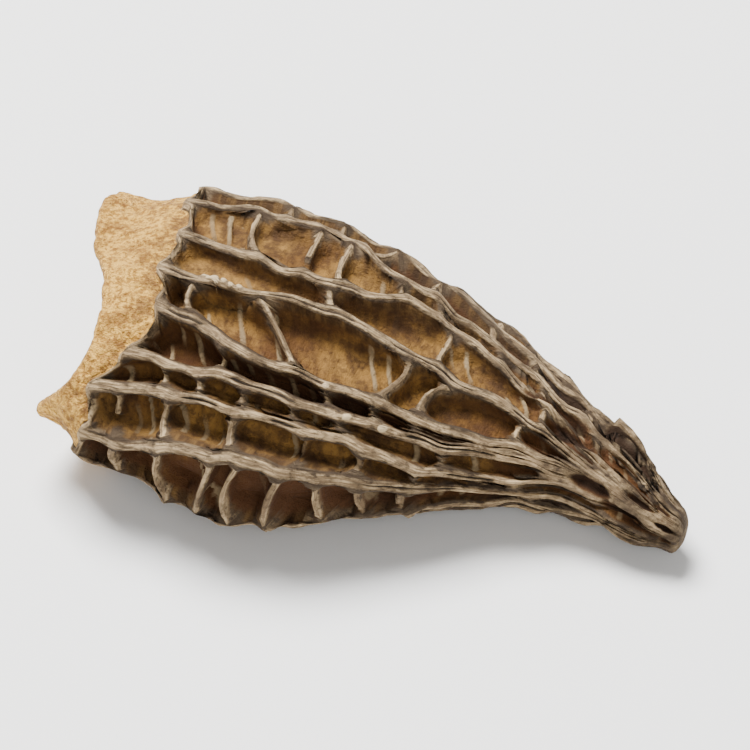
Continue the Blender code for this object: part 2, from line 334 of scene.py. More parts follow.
def ribAngle(k, station):
    # a rib's angle at a station, with its small wander and the pull of the veins on either side
    stations, angles = ribs[k % len(ribs)]
    at = np.clip(station, stations[0], stations[-1])
    halfWidth, halfThick = section(station)[:2]
    radius = np.maximum((halfWidth + halfThick) / 2, 1.0)
    after, before = veinMeets(k, station)
    wander = ribNet["wander"] * (lineNoise(station, 3.3, 11 + k % len(ribs))
                                 + 0.4 * lineNoise(station, 1.2, 71 + k % len(ribs)))
    wander = wander + ribNet["veinPull"] * (after - before)
    wander = wander * stepUp(bodyShape["tip"] - station, 0, 6)
    turns = 360 * (k // len(ribs))
    return smoothThrough(stations, angles, at) + np.degrees(wander / radius) + turns


def crestDrop(k, station):
    # how far a rib's crest lies under the envelope
    length, phase = waves[k % len(ribs)]
    after, before = veinMeets(k, station)
    wave = ribNet["crestWave"] * (0.5 + 0.5 * np.sin(2 * np.pi * station / length + phase))
    lift = ribNet["veinLift"] * (1 - np.minimum(after + before, 1))
    for rib, place, up, rise, fall in ribNet["points"]:
        if rib == k % len(ribs):
            rising = stepUp(station, place - rise, place)
            falling = stepUp(station, place, place + fall)
            lift = lift - up * rising * (1 - falling)
    return wave + lift


def ribWidth(k, station):
    # how much wider or thinner than usual a rib is
    slow = lineNoise(station, 4.0, 131 + k % len(ribs))
    quick = lineNoise(station, 1.3, 171 + k % len(ribs))
    return 1 + 0.30 * slow + 0.12 * quick


def underCut(k, station, end):
    # 1 where a rib's wall leans back under its crest, less off the side, and 0 near the tip and
    # where a vein of the pits' row k or the cap's edge meets it
    lean = stepUp(station - roundEdge(bodyShape["capEdge"], ribAngle(k + end, station)), 0.7, 1.6)
    lean = lean * stepUp(bodyShape["tip"] - station, 9, 13)
    if k >= len(ribNet["sideRibs"]) - 1:
        lean = lean * ribNet["hiddenLean"]
    for vein in veinRows[k]:
        lean = lean * stepUp(np.abs(station - vein[end]), 0.6, 1.5)
    return lean


def acrossShares(k, station, gap, floorCount):
    # share of the way from one rib to the next of each column of the mesh
    wide, narrow = ribNet["mostOfGap"]
    most = wide + (narrow - wide) * stepUp(station, *ribNet["tipward"])
    fit = np.minimum(1, most * gap / ribNet["across"][-1])
    sides = []
    for end in (0, 1):
        lean = underCut(k, station, end)[..., None]
        across = np.array(ribNet["upright"]) * (1 - lean) + np.array(ribNet["across"]) * lean
        sides.append(across * (fit * ribWidth(k + end, station) / gap)[..., None])
    left = sides[0]
    right = 1 - sides[1][..., :0:-1]
    inner = np.arange(1, floorCount + 1) / (floorCount + 1)
    inner = inner - 0.11 * np.sin(2 * np.pi * inner)
    floor = left[..., -1:] + (right[..., :1] - left[..., -1:]) * inner
    return np.concatenate([left, floor, right], axis=-1)


def ribGap(k, station):
    # both ribs' angles and the mm between them at the envelope
    a = ribAngle(k, station)
    b = ribAngle(k + 1, station)
    halfWidth, halfThick = section(station)[:2]
    turn = np.radians((a + b) / 2)
    gap = np.radians(b - a) * np.hypot(halfWidth * np.sin(turn), halfThick * np.cos(turn))
    return a, b, np.maximum(gap, 0.02)


def cornerFill(fromRib, radius):
    # how much further a crest reaches along a rib from a vein, for a corner of a quarter circle
    inward = radius - np.clip(fromRib, 0, radius)
    return radius - np.sqrt(radius ** 2 - inward ** 2)


def cornerRadius(gap):
    # radius of the corners of a pit, smaller between close ribs
    return np.minimum(crossVeins["corner"], crossVeins["cornerShare"] * gap)


def intoPit(fromVein, fromRib, radius):
    # distance from the nearest wall into a pit with quarter circles for corners, under 0 on the net
    corner = radius - np.hypot(np.maximum(radius - fromVein, 0), np.maximum(radius - fromRib, 0))
    return np.where(np.maximum(fromVein, fromRib) < radius, corner, np.minimum(fromVein, fromRib))


def wallShare(distance):
    # share of the way down at a distance into the pit: the ribs' own profile, for veins as well
    face = ribNet["upright"][4]
    down = np.interp(distance, np.array(ribNet["upright"]) - face, ribNet["down"])
    return down + 0.02 * stepUp(distance, 0.2, 0.4)


def gatherRows(k, veins, start, shares, edge, gap):
    # Stations of each column's rows. They are even along the rib's crest, and between the ribs they
    # are drawn onto the lines beside each vein and the cap's edge.
    count = ribNet["rows"]
    rows = np.arange(count)
    tip = bodyShape["tip"]
    even = edge + (tip - edge) * rows[:, None] / count
    block = np.array(crossVeins["rowsAcross"])
    face = ribNet["upright"][4]

    def spread(row):
        # mm from a vein's middle line to the rows beside it, further off in the corners by the ribs
        fromRib = np.minimum(shares[row], 1 - shares[row]) * gap[row] - face
        fill = cornerFill(fromRib, cornerRadius(gap[row]))
        return [side + np.sign(side) * fill * (abs(side) > 0.1) for side in block]

    knots = [0]
    places = [edge]
    for j, offset in enumerate(spread(0)[4:]):
        knots.append(2 + j)
        places.append(edge + crossVeins["rim"] + offset)
    for number, vein in enumerate(veins):
        middle = int(round(((vein[0] + vein[1]) / 2 - start) / (tip - start) * count))
        middle = min(max(middle, 0), count - 1)
        row = max(middle - len(block) // 2, knots[-1] + 2)
        if row + len(block) > count - 3:
            break
        line = veinLine(k, number, vein, shares[middle])
        slope = np.gradient(line) / np.maximum(np.gradient(shares[middle]) * gap[middle], 1e-3)
        slope = np.sqrt(1 + np.clip(slope, -crossVeins["steepest"], crossVeins["steepest"]) ** 2)
        for j, offset in enumerate(spread(middle)):
            knots.append(row + j)
            places.append(line + offset * slope)
    knots = np.array(knots + [count])
    places = np.array(places + [np.full_like(edge, tip)])
    steps = crossVeins["rowStep"] * np.arange(len(knots))[:, None]
    places = np.maximum.accumulate(places + steps, axis=0)
    places = np.minimum(places, tip)
    below = np.clip(np.searchsorted(knots, rows, side="right") - 1, 0, len(knots) - 2)
    t = ((rows - knots[below]) / (knots[below + 1] - knots[below]))[:, None]
    gathered = places[below] * (1 - t) + places[below + 1] * t
    columns = np.arange(len(edge))
    pull = np.clip(np.minimum(columns, len(edge) - columns) / 3, 0, 1)
    return even + (gathered - even) * pull


def veinLine(k, number, vein, shares):
    # station of a vein's middle line at each share of the way across, bowed mostly to the stem
    gap = ribGap(k, np.array([(vein[0] + vein[1]) / 2]))[2][0]
    bow = min(crossVeins["bow"], crossVeins["bowShare"] * gap)
    bow = bow * (0.9 * lineNoise(np.array(number * 7.3 + k * 3.1), 1.0, 5) - 0.5)
    return vein[0] + (vein[1] - vein[0]) * shares + bow * 4 * shares * (1 - shares)


def pitRow(k, veins):
    # Skin from the middle of one rib's crest to the next: each column runs from the cap's edge to
    # the tip, and its rows gather at the cross veins. Depth is the rib's profile, less on a vein.
    tip = bodyShape["tip"]
    floorCount = floorColumns[k]
    count = ribNet["rows"]
    start = roundEdge(bodyShape["capEdge"], (ribAngle(k, 7.0) + ribAngle(k + 1, 7.0)) / 2)
    along = start + (tip - start) * np.arange(count) / count
    a, b, gap = ribGap(k, along)
    shares = acrossShares(k, along, gap, floorCount)
    edge = capEdgeAt(a[0] + (b - a)[0] * shares[0], np.minimum(shares[0], 1 - shares[0]) * gap[0])
    station = gatherRows(k, veins, start, shares, edge, gap)

    a, b, gap = ribGap(k, station)
    column = np.arange(shares.shape[1])
    shares = acrossShares(k, station, gap, floorCount)[:, column, column]
    angle = a + (b - a) * shares
    fromCrest = np.minimum(shares * gap, (1 - shares) * gap)
    fromEdge = station - edge
    upright = np.array(ribNet["upright"]) - ribNet["upright"][4]
    beyond = 1 + 0 * shares[:, len(upright):-len(upright) + 1]
    fromRib = np.minimum(shares * gap, (1 - shares) * gap) - ribNet["upright"][4]
    fromRib[:, :len(upright)] = upright
    fromRib[:, len(upright) + beyond.shape[1]:] = upright[:0:-1]
    onFloor = stepUp(fromRib, 0.05, 0.4)

    # the cap's edge rises from the stem to the crests, and the pits lie between crests and floors
    step = ribNet["stemStep"]
    crest = crestDrop(k, station) * (1 - shares) + crestDrop(k + 1, station) * shares
    crest = crest * (0.15 + 0.85 * stepUp(fromEdge, 0.5, 2.5))
    crest = step + (crest - step) * stepUp(fromEdge, 0, 0.3)
    pit = section(station)[4] * stepUp(gap, *ribNet["pitOpens"])
    pit = pit * (1 + 0.08 * np.sin(np.pi * shares))
    shallow = 1 - (ribNet["rowDepths"] + (1,) * len(ribs))[k]
    pit = pit * (1 - shallow * (1 - 0.7 * stepUp(station, *ribNet["rowDeepens"])))
    hiddenFold = ribNet["hiddenFolds"][k % 2]
    fold = (ribNet["folds"] + (hiddenFold,) * len(ribs))[k]
    pit = np.maximum(pit, fold * stepUp(gap, 0.1, 0.5) * stepUp(tip - station, 0.3, 2.5))
    pit = np.maximum(pit, crest + 0.02)

    # share of the way down: the least of what the cap's edge and each cross vein leave
    corner = cornerRadius(gap)
    ridge = np.minimum(fromCrest, np.abs(fromEdge - 0.3) + 0.12)
    fromVein = fromEdge - crossVeins["rim"]
    share = wallShare(intoPit(fromVein, fromRib, corner))
    body = 1 - stepUp(fromVein, 0.0, 0.12)
    for number, vein in enumerate(veins):
        reach, height = vein[2:]
        line = veinLine(k, number, vein, shares)
        lean = np.gradient(line, axis=1) / np.maximum(np.gradient(shares, axis=1) * gap, 1e-3)
        lean = np.clip(lean, -crossVeins["steepest"], crossVeins["steepest"])
        away = np.abs(station - line) / np.sqrt(1 + lean ** 2)
        atEnds = crossVeins["endHeight"]
        rise = atEnds + (height - atEnds) * 4 * shares * (1 - shares)
        if reach < 1:
            rise = rise * (1 - stepUp(shares, reach - 0.12, reach + 0.1))
        uneven = lineNoise(shares * 3 + number * 5 + k, 1.0, 31)
        width = crossVeins["halfWidth"] * (1 + 0.2 * uneven)
        ridge = np.where(rise * onFloor > 0.3, np.minimum(ridge, away + 0.12), ridge)
        away = away - width
        rise = 1 - (1 - rise) * onFloor
        depthShare = wallShare(intoPit(away, fromRib, corner * (0.35 + 0.65 * height)))
        share = np.minimum(share, 1 - (1 - depthShare) * rise)
        crown = (1 - stepUp(away, -0.05, 0.06)) * onFloor * np.clip(rise * 1.5, 0, 1)
        body = np.maximum(body, crown)
        fromVein = np.minimum(fromVein, away)
    depth = crest + (pit - crest) * share
    net = np.maximum(1 - stepUp(depth - crest, 0.14, 0.45), body * stepUp(fromEdge, 0.0, 0.15))
    sink = stepUp(depth - crest, 0.15, 0.85 * np.maximum(pit - crest, 0.3))
    # nearness to the walls, for painted shade on the floors beside them
    openness = np.clip(np.minimum(fromRib, fromVein) / 1.2, 0, 1)

    tone = (ribNet["rowTones"] + (ribNet["hiddenTone"],) * len(ribs))[k]
    tone = tone + ribNet["tipTone"] * stepUp(station, *ribNet["tipward"])
    change, length = ribNet["tonePatches"]
    cloud = np.stack([station / length, 0 * station + k * 5.0, 0 * station], axis=-1)
    tone = tone + change * latticeNoise(cloud, 1.0, 401)

    # hollows in the tip, with painted shade in them
    radius = np.maximum(sum(section(station)[:2]) / 2, 0.1)
    for place, side, length, width, deep in ribNet["hollows"]:
        around = np.radians(angle - side) * radius
        bowl = np.exp(-(((station - place) / length) ** 2 + (around / width) ** 2) ** 2)
        depth = depth + deep * bowl
        net = net * (1 - bowl)
        sink = np.maximum(sink, 0.75 * bowl)
        # painted shade: the hollows take the darkest tone
        tone = np.maximum(tone, 1.5 * bowl)

    # pale crumbs caught on the ribs
    crumb = 0 * depth
    for place, side, size in ribNet["crumbs"]:
        away = np.hypot(station - place, np.radians(angle - side) * radius)
        grain = np.exp(-(away / size) ** 4) * (1 - stepUp(share, 0.12, 0.40))
        crumb = np.maximum(crumb, grain)
        depth = depth - ribNet["crumbHeight"] * size * grain

    # rungs across the floor and the foot of the walls
    fromMiddle = (shares - 0.5) * gap
    phase = (station + rungs["slant"] * fromMiddle + 0.3 * lineNoise(station, 2.0, 201 + k)
             + 0.22 * lineNoise(fromMiddle, 1.2, 221 + k)) / rungs["spacing"] + 0.37 * k
    away = np.abs(phase - np.round(phase)) * rungs["spacing"]
    number = np.round(phase)
    fromFoot = np.where(lineNoise(number * 3.0, 1.0, 251 + k) > 0.1, shares, 1 - shares)
    reach = 0.62 + 0.42 * lineNoise(number * 5.0, 1.0, 261 + k)
    present = stepUp(lineNoise(number * 7.0, 1.0, 241 + k), -0.3, 0.4)
    strength = (1 - stepUp(fromFoot, reach - 0.14, reach + 0.04)) * present
    rung = np.exp(-(away / rungs["halfWidth"]) ** 2) * strength * stepUp(share, 0.4, 0.95)
    depth = depth - rungs["height"] * rung * stepUp(pit, 0.8, 2.0)

    # crests parted by a groove along the middle; its mask also paints shade into the groove
    nearer = np.where(shares < 0.5, k, k + 1) % len(ribs)
    parted = latticeNoise(np.stack([station / 3.0, nearer * 9.0, 0 * station], axis=-1), 1.0, 301)
    parted = stepUp(parted, -0.15, 0.3) * stepUp(fromEdge, 0.4, 1.5) * stepUp(gap, 0.3, 1.2)
    parted = parted * np.exp(-(fromCrest / 0.09) ** 2)
    depth = depth + ribNet["groove"] * parted
    station = station - ribNet["lip"] * stepUp(fromEdge, 0, 0.3) * (1 - stepUp(fromEdge, 0.35, 1.4))
    return station, angle, depth, {
        "net": net, "sink": sink, "rung": phase, "ridge": ridge, "open": openness, "split": parted,
        "tone": tone, "rungOn": strength, "crumb": crumb}


draw = random.Random(ribNet["seed"])
ribs = allRibs(draw)
veinRows = allVeins(draw)
waves = [(draw.uniform(*ribNet["crestWaveLength"]), draw.uniform(0, 2 * np.pi)) for _ in ribs]
floorColumns = list(ribNet["floorColumns"]) + [ribNet["hiddenFloorColumns"]] * ribNet["hiddenRibs"]

stem = {
    "rows": 26,
    "rimRows": 7,
    "rimRound": 0.4,           # mm over which the cut edge rounds over
    "wall": 1.1,               # mm of flesh at the cut
    "capWall": 1.15,
    "frontRows": 10,           # rows of the inside just behind the rim
    "frontDepth": 2.4,
    "deepRows": 30,
    "deepEvery": 3,            # the deep inside keeps one column in this many
    "cavityCloses": 31.0,
    "cavityEnd": 38.0,
    "ragged": 0.22,            # mm that the cut edge wavers
    "neck": 0.25,              # mm that the stem sinks where it runs under the cap
    "neckReach": 1.6,          # mm from the cap over which it sinks
    "brinkReach": 1.7,         # mm from the cap over which it is darker, with brown stains and painted shade under the cap's lip
    "insideSwell": (0.12, 2.5, 91),  # mm that the deep inside swells, the swells' size and seed
}


def insideDepth(station, angle):
    # how far the inner skin lies under the envelope, closing to a point at the end of the hollow
    halfWidth, halfThick, _, _, depth = section(station)
    closing = (station - stem["cavityCloses"]) / (stem["cavityEnd"] - stem["cavityCloses"])
    shrink = np.sqrt(1 - np.clip(closing, 0, 1) ** 2)
    wall = np.maximum(ribNet["stemStep"] + stem["wall"], depth + stem["capWall"])
    radius = np.hypot(halfWidth * np.cos(np.radians(angle)), halfThick * np.sin(np.radians(angle)))
    return wall + (radius - wall) * (1 - shrink)


def gridNormals(points):
    # unit normals of a grid whose columns run right round
    around = np.roll(points, -1, axis=1) - np.roll(points, 1, axis=1)
    along = np.gradient(points, axis=0)
    normal = np.cross(around, along)
    return normal / np.maximum(np.linalg.norm(normal, axis=-1, keepdims=True), 1e-9)


def ringQuads(first, count, rows):
    # quads between each ring of count points and the next
    row, column = np.meshgrid(np.arange(rows - 1), np.arange(count), indexing="ij")
    a = first + row * count + column
    b = first + row * count + (column + 1) % count
    return np.stack([a, b, b + count, a + count], axis=-1).reshape(-1, 4)


def meshPiece(name, points, faceArrays):
    # a smooth mesh of points in mm, as an object at the origin
    mesh = bpy.data.meshes.new(name)
    faces = [face for array in faceArrays for face in array.tolist()]
    mesh.from_pydata((points * mm).tolist(), [], faces)
    mesh.polygons.foreach_set("use_smooth", np.ones(len(mesh.polygons), bool))
    piece = bpy.data.objects.new(name, mesh)
    bpy.context.scene.collection.objects.link(piece)
    return piece


def addMasks(piece, masks):
    # each mask as one number at every point of the mesh
    for name, values in masks.items():
        attribute = piece.data.attributes.new(name, "FLOAT", "POINT")
        attribute.data.foreach_set("value", np.ascontiguousarray(values, dtype=np.float32).ravel())


def mouthAt(angle):
    # station of the stem's cut edge, a little ragged
    turn = np.radians(angle)
    aroundPoint = np.stack([np.cos(turn), np.sin(turn), 0 * angle], axis=-1)
    mouth = roundEdge(bodyShape["mouthEdge"], angle)
    mouth = mouth + stem["ragged"] * cloudNoise(aroundPoint * 10, 1.6, 3)
    return np.maximum(mouth, 0.05)


def fruitBody():
    # One skin: from inside the mouth over the cut rim, along the stem and over the cap's net to the
    # tip. All its rings have the same columns.
    cells = [pitRow(k, veinRows[k]) for k in range(len(ribs))]
    station, angle, depth = [np.concatenate([cell[i] for cell in cells], axis=1) for i in range(3)]
    masks = {name: np.concatenate([cell[3][name] for cell in cells], axis=1)
             for name in cells[0][3]}
    edge = station[0]
    turn = angle[0]
    mouth = mouthAt(turn[0] + 360 * np.arange(len(turn)) / len(turn))
    step = ribNet["stemStep"]

    # stem outside, from the rim's shoulder to the cap's edge, sinking a little under the cap
    shoulder = mouth + stem["rimRound"]
    t = (np.arange(stem["rows"]) / stem["rows"])[:, None]
    stemStation = shoulder + (edge - shoulder) * t
    toCap = edge - stemStation
    neck = stem["neck"] * np.exp(-(toCap / stem["neckReach"]) ** 2) * stepUp(toCap, 0.0, 0.5)
    # rim, from inside to outside
    q = ((np.arange(stem["rimRows"]) + 1) / (stem["rimRows"] + 1))[:, None]
    rimStation = shoulder - stem["rimRound"] * np.sin(np.pi * q)
    rimDepth = step + stem["wall"] * (0.5 + 0.5 * np.cos(np.pi * q)) + 0 * turn
    # inside just behind the rim, from deep to shallow
    back = 1 - (np.arange(stem["frontRows"]) / stem["frontRows"])[:, None]
    frontStation = shoulder + stem["frontDepth"] * back
    # the columns, which crowd at the ribs' ends, spread out evenly towards the mouth
    even = turn[0] + 360 * np.arange(len(turn)) / len(turn)
    spread = 1 - stepUp(t, 0.35, 1.0)
    outAngles = turn + (even - turn) * spread
    inAngles = np.broadcast_to(even, (stem["frontRows"] + stem["rimRows"], len(turn)))

    before = stem["frontRows"] + stem["rimRows"] + stem["rows"]
    rimEnd = stem["frontRows"] + stem["rimRows"]
    allAngles = np.concatenate([inAngles, outAngles, angle])
    allStations = np.concatenate([frontStation, rimStation, stemStation, station])
    allDepths = np.concatenate([insideDepth(frontStation, even), rimDepth, step + neck, depth])
    grid = skinPoints(allStations, allAngles, allDepths)

    for name in masks:
        first = masks[name][0] if name in ("rung", "ridge") else 0 * turn
        masks[name] = np.concatenate([np.broadcast_to(first, (before, len(turn))), masks[name]])
    onCap = stepUp(station - edge, -0.15, 0.1)
    masks["stem"] = np.concatenate([np.ones((before, len(turn))), 1 - onCap])
    # closeness to the cap's edge: fewer wrinkles there, and brown stains with painted shade under
    # the lip
    masks["brink"] = np.exp(-(np.maximum(edge - allStations, 0) / stem["brinkReach"]) ** 2)
    masks["inside"] = np.zeros_like(grid[..., 0])
    masks["inside"][:stem["frontRows"]] = 1
    masks["inside"][stem["frontRows"]:rimEnd] = 1 - q
    return grid, masks, even


# The skin's fine relief: mm that it moves the skin, then its noise's size in mm and seed.
skinRelief = {
    "cords": (0.06, 0.8, 21),
    "grain": (0.04, 0.45, 25),
    "pleats": (0.55, 41),      # size and seed alone
    "pleatsOnWall": 0.16,
    "pleatsOnFloor": 0.10,
    "floorBumps": (0.08, 1.1, 51),
    "tipBumps": (0.16, 1.7, 55),
    "tipBumpsFrom": (37, 44),
    "dimples": (0.35, 1.0, 57),
    "dimplesFrom": (42.5, 45),
    "dimpleShade": 0.6,
    "wrinkles": (0.42, 2.2, 67),
    "stemWaves": (0.16, 1.3, 61),
    "stemFelt": (0.12, 0.6, 65),
    "insideWaves": (0.05, 1.5, 81),
    "fadeRows": 10,            # rows over which it fades out at the tip
}


def reliefOf(name, p, noiseKind=cloudNoise):
    # one kind of relief at points p: its mm times the noise
    amount, size, seed = skinRelief[name]
    return amount * noiseKind(p, size, seed)


def roughen(grid, masks):
    # moves the skin along its normals: cords and grain on the crests, pleats down the pits' walls,
    # bumps on their floors, dimples at the tip, and long wrinkles and felt on the stem
    net, sink, stemMask, inside = [masks[name] for name in ("net", "sink", "stem", "inside")]
    normal = gridNormals(grid)
    station = grid[..., 0]
    lengthwise = grid * np.array([0.35, 1.0, 1.0])
    crest = net * (1 - stemMask)
    wall = 4 * sink * (1 - sink) * (1 - stemMask)
    floor = sink ** 2
    push = crest * (reliefOf("cords", lengthwise) + reliefOf("grain", grid, latticeNoise))

    pleats = np.abs(latticeNoise(grid * np.array([1.0, 0.3, 0.3]), *skinRelief["pleats"]))
    share = skinRelief["pleatsOnWall"] * wall + skinRelief["pleatsOnFloor"] * floor
    push += share * (0.35 - pleats) + floor * reliefOf("floorBumps", grid)
    push += stepUp(station, *skinRelief["tipBumpsFrom"]) * reliefOf("tipBumps", lengthwise)

    amount, size, seed = skinRelief["dimples"]
    dimples = stepUp(cloudNoise(grid * np.array([0.6, 1, 1]), size, seed), 0.12, 0.5)
    dimples = dimples * stepUp(station, *skinRelief["dimplesFrom"])
    push -= amount * dimples
    # painted shade in the dimples, laid on the mask of the crests' grooves
    masks["split"] = np.maximum(masks["split"], skinRelief["dimpleShade"] * dimples)

    amount, size, seed = skinRelief["wrinkles"]
    outside = stemMask * (1 - inside)
    wrinkles = np.abs(cloudNoise(grid * np.array([0.5, 1, 1]), size, seed))
    push += amount * outside * (wrinkles - 0.25) * (1 - 0.7 * masks["brink"])
    push += outside * (reliefOf("stemWaves", lengthwise) + reliefOf("stemFelt", grid))
    push += inside * reliefOf("insideWaves", grid)

    fade = np.ones(len(grid))
    fade[0] = 0
    fade[-skinRelief["fadeRows"]:] = np.linspace(1, 0, skinRelief["fadeRows"])
    return grid + normal * (push * fade[:, None])[..., None]


print("fruit body: net of", len(ribs), "ribs")
grid, masks, turn = fruitBody()
grid = roughen(grid, masks)

# the deep inside, whose last ring meets one point in three of the skin's first
every = stem["deepEvery"]
deepTurn = turn[::every]
t = ((np.arange(stem["deepRows"]) + 1) / (stem["deepRows"] + 1))[:, None]
start = mouthAt(deepTurn) + stem["rimRound"] + stem["frontDepth"]
deepStation = stem["cavityEnd"] + (start - stem["cavityEnd"]) * t
deepAngle = np.broadcast_to(deepTurn, deepStation.shape)
deep = skinPoints(deepStation, deepAngle, insideDepth(deepStation, deepTurn))
swell, size, seed = stem["insideSwell"]
swell = swell * cloudNoise(deep, size, seed) * np.linspace(1, 0, len(deep))[:, None]
deep = deep + gridNormals(deep) * swell[..., None]

around = grid.shape[1]
inner = deep.shape[1]
end = section(np.array(stem["cavityEnd"]))
poles = np.array([[stem["cavityEnd"], end[2], end[3]], [bodyShape["tip"], *bodyShape["tipCentre"]]])
points = np.concatenate([deep.reshape(-1, 3), grid.reshape(-1, 3), poles])
firstSkin = deep.shape[0] * inner
endPole = len(points) - 2
tipPole = len(points) - 1

j = np.arange(inner)
ring = np.arange(around)
lastSkin = firstSkin + (grid.shape[0] - 1) * around
lastDeep = (deep.shape[0] - 1) * inner
p = lastDeep + j
q = lastDeep + (j + 1) % inner
a, b, c, d = [firstSkin + (every * j + i) % around for i in range(4)]
joints = [(p, b, a), (p, q, b), (q, c, b), (q, d, c)]
tipFan = [lastSkin + ring, lastSkin + (ring + 1) % around, np.full_like(ring, tipPole)]
faces = [
    ringQuads(0, inner, deep.shape[0]),
    ringQuads(firstSkin, around, grid.shape[0]),
    np.stack([(j + 1) % inner, j, np.full_like(j, endPole)], axis=-1),
    np.stack(tipFan, axis=-1),
    np.concatenate([np.stack(face, axis=-1) for face in joints]),
]

points[:, 2] = np.maximum(points[:, 2], 0)
shift = np.array([bodyShape["tip"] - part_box("fruit_body")[1][0] / mm, -bodyShape["sideShift"], 0])
points -= shift


def wholeMask(mask, inside, atTip):
    # a mask over the skin's grid, carried on to the deep inside and the two poles
    return np.concatenate([np.full(deep.shape[0] * inner, inside), mask.ravel(), [inside, atTip]])


morel = meshPiece("morel", points, faces)
addMasks(morel, {name: wholeMask(mask, name in ("stem", "inside"), name == "net")
                 for name, mask in masks.items()})
print("fruit body:", len(morel.data.polygons), "faces")


class Wire:
    # one socket of a material: sums, differences and products of wires add Math nodes
    def __init__(self, tree, socket):
        self.tree = tree
        self.socket = socket

    def math(self, operation, *others):
        values = dict(enumerate((self, *others)))
        return addNode(self.tree, "ShaderNodeMath", {"operation": operation}, values)

    def __add__(self, other):
        return self.math("ADD", other)

    __radd__ = __add__

    def __mul__(self, other):
        return self.math("MULTIPLY", other)

    __rmul__ = __mul__

    def __sub__(self, other):
        return self.math("SUBTRACT", other)

    def __rsub__(self, other):
        return addNode(self.tree, "ShaderNodeMath", {"operation": "SUBTRACT"}, {0: other, 1: self})

    def between(self, low, high):
        # 0 below low, 1 above high
        return addNode(self.tree, "ShaderNodeMapRange", {"interpolation_type": "SMOOTHSTEP"},
                       {"Value": self, "From Min": low, "From Max": high})


def addNode(tree, kind, settings=None, values=None, out=0):
    # a node of any kind: its settings first, then the values or wires of its sockets
    node = tree.nodes.new(kind)
    for key, value in (settings or {}).items():
        setattr(node, key, value)
    for key, value in (values or {}).items():
        if isinstance(value, Wire):
            tree.links.new(value.socket, node.inputs[key])
        elif isinstance(value, tuple) and len(value) == 3 and node.inputs[key].type == "RGBA":
            node.inputs[key].default_value = (*value, 1)
        else:
            node.inputs[key].default_value = value
    return Wire(tree, node.outputs[out])


def blend(tree, amount, first, second):
    # colours: first where amount is 0, second where it is 1
    return addNode(tree, "ShaderNodeMix", {"data_type": "RGBA"},
                   {"Factor": amount, 6: first, 7: second}, out=2)


def noise(tree, place, perMetre, stretch=(1, 1, 1), detail=4, roughness=0.6):
    # noise from 0 to 1 at a place, with so many waves to a metre, times the stretch of each axis
    spread = addNode(tree, "ShaderNodeVectorMath", {"operation": "MULTIPLY"},
                     {0: place, 1: tuple(perMetre * s for s in stretch)})
    return addNode(tree, "ShaderNodeTexNoise", {},
                   {"Vector": spread, "Scale": 1.0, "Detail": detail, "Roughness": roughness})


flesh = {
    "crest": (0.172, 0.114, 0.060),
    "crestPale": (0.480, 0.345, 0.190),
    "crestDarkAndShade": (0.034, 0.021, 0.012),
    "crestGrooveShade": (0.012, 0.007, 0.004),
    # the walls' darker brown is partly the flesh's own and partly painted shade that makes the pits
    # look deep
    "wall": (0.050, 0.024, 0.007),
    "wallPleat": (0.125, 0.067, 0.020),
    "floor": (0.138, 0.064, 0.014),
    "floorPale": (0.265, 0.140, 0.033),
    "floorDark": (0.040, 0.017, 0.006),
    # dark floors and near-black walls by the tone: the rows' own colour, with painted shade in the
    # tip's hollows and partly in the fourth row
    "deepFloor": (0.072, 0.026, 0.006),
    "deepWall": (0.021, 0.0095, 0.0035),
    "rung": (0.270, 0.195, 0.105),
    "crumb": (0.600, 0.460, 0.270),
    "stem": (0.400, 0.200, 0.034),
    "stemPale": (0.770, 0.440, 0.088),
    "stemBrown": (0.170, 0.066, 0.014),
    # brown stain and painted shade under the cap's lip
    "brink": (0.130, 0.062, 0.024),
    "inside": (0.300, 0.170, 0.065),
}

finish = {
    "roughness": 0.86,
    "specular": 0.25,
    "bumpDistance": 0.00030,
    "bumpStrength": 0.8,
}

# The material's noises: waves to a metre, stretch along each axis, detail and roughness.
grains = {
    "grain": (2600, (0.35, 1, 1), 4, 0.6),
    "clouds": (420, (1, 1, 1), 4, 0.6),
    "patches": (190, (1, 1, 1), 2, 0.6),
    "pleats": (1900, (1, 0.16, 0.16), 3, 0.6),
    "fine": (7000, (1, 1, 1), 3, 0.6),
    "stipple": (3000, (1, 1, 1), 3, 0.6),
    "mottle": (1300, (1, 1, 1), 4, 0.7),
}


def layered(tree, colour, *layers):
    # a colour with others of the flesh laid over it in turn, each by its own amount from 0 to 1
    for amount, name in layers:
        colour = blend(tree, amount, colour, flesh[name])
    return colour


